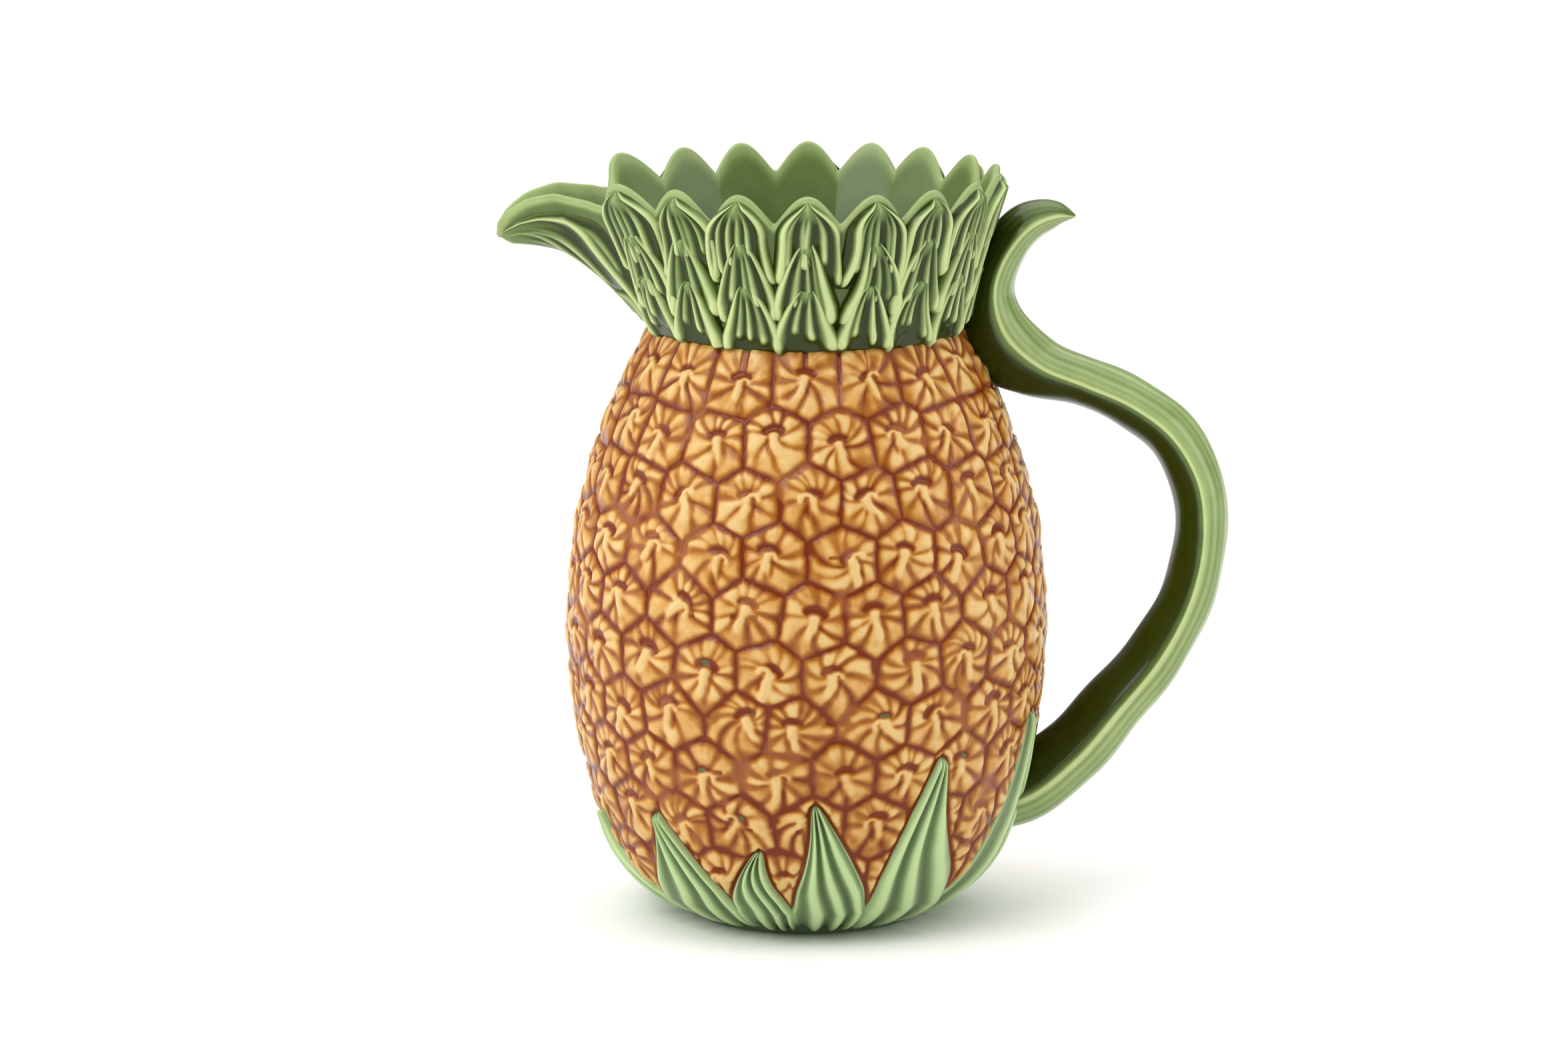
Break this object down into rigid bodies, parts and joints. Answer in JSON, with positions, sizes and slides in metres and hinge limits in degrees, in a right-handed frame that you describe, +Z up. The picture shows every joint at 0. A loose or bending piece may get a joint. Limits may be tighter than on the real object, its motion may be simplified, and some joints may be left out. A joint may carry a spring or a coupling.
{
  "type": "pineapple jug",
  "caption": "Glazed earthenware jug in the form of a pineapple, with a serrated leaf crown, a leaf-shaped pouring beak, a curved stalk handle and leaves round the base.",
  "frame": {"origin": "centre of the foot ring on the surface that the jug stands on", "axes": "+Z up along the body's axis, -X along the pouring beak, +X through the handle, -Y the side seen in the picture"},
  "size_m": [0.2303, 0.1538, 0.237],
  "materials": {
    "amber_glaze": "glossy honey-amber glaze, thin and golden on the ridges, red-brown in the grooves",
    "leaf_glaze": "glossy copper-green glaze, pale on the edges, near black where it pools",
    "sage_glaze": "glossy smooth sage-green glaze"
  },
  "bodies": {
    "root": {"body_shell": "amber_glaze", "crown_collar": "sage_glaze", "pouring_spout": "leaf_glaze", "handle": "leaf_glaze", "crown_leaves_lower": "leaf_glaze", "crown_leaves_middle": "leaf_glaze", "crown_leaves_upper": "leaf_glaze", "fruitlet_row_1": "amber_glaze", "fruitlet_row_2": "amber_glaze", "fruitlet_row_3": "amber_glaze", "fruitlet_row_4": "amber_glaze", "fruitlet_row_5": "amber_glaze", "fruitlet_row_6": "amber_glaze", "fruitlet_row_7": "amber_glaze", "fruitlet_row_8": "amber_glaze", "fruitlet_row_9": "amber_glaze", "base_leaf_1": "leaf_glaze", "base_leaf_2": "leaf_glaze", "base_leaf_3": "leaf_glaze", "base_leaf_4": "leaf_glaze", "base_leaf_5": "leaf_glaze", "base_leaf_6": "leaf_glaze", "base_leaf_7": "leaf_glaze", "base_leaf_8": "leaf_glaze", "base_leaf_9": "leaf_glaze", "base_leaf_10": "leaf_glaze", "base_leaf_11": "leaf_glaze", "base_leaf_12": "leaf_glaze"}
  },
  "joints": []
}
